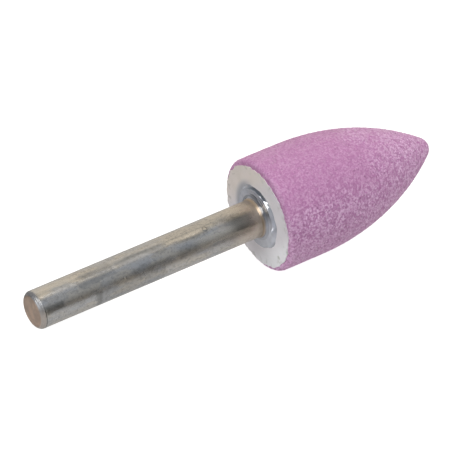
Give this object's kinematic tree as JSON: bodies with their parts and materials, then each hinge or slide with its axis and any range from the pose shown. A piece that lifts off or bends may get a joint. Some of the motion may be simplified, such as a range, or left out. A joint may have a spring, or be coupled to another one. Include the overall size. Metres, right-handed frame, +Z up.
{
  "type": "mounted point",
  "caption": "Mounted grinding point: a pointed-arch abrasive head with a paper label on its back face, bonded with resin to a plain round steel shank that a collet grips.",
  "frame": {"origin": "centre of the bottom of the bounding box, on the surface that the part lies on", "axes": "+X along the ground from the shank's free end towards the point, +Z up; the part's own axis climbs towards the point by 8.7 degrees, because the head is wider than the shank"},
  "size_m": [0.0718, 0.0182, 0.0196],
  "materials": {
    "abrasive": "open sugary grain, pink fused alumina in a vitrified bond",
    "steel": "drawn bright bar, smudged",
    "resin": "hardened clear grey resin, glossy",
    "label": "matt white paper"
  },
  "bodies": {
    "root": {"abrasive_head": "abrasive", "shank": "steel", "bonding_resin": "resin", "label_ring": "label"}
  },
  "joints": []
}
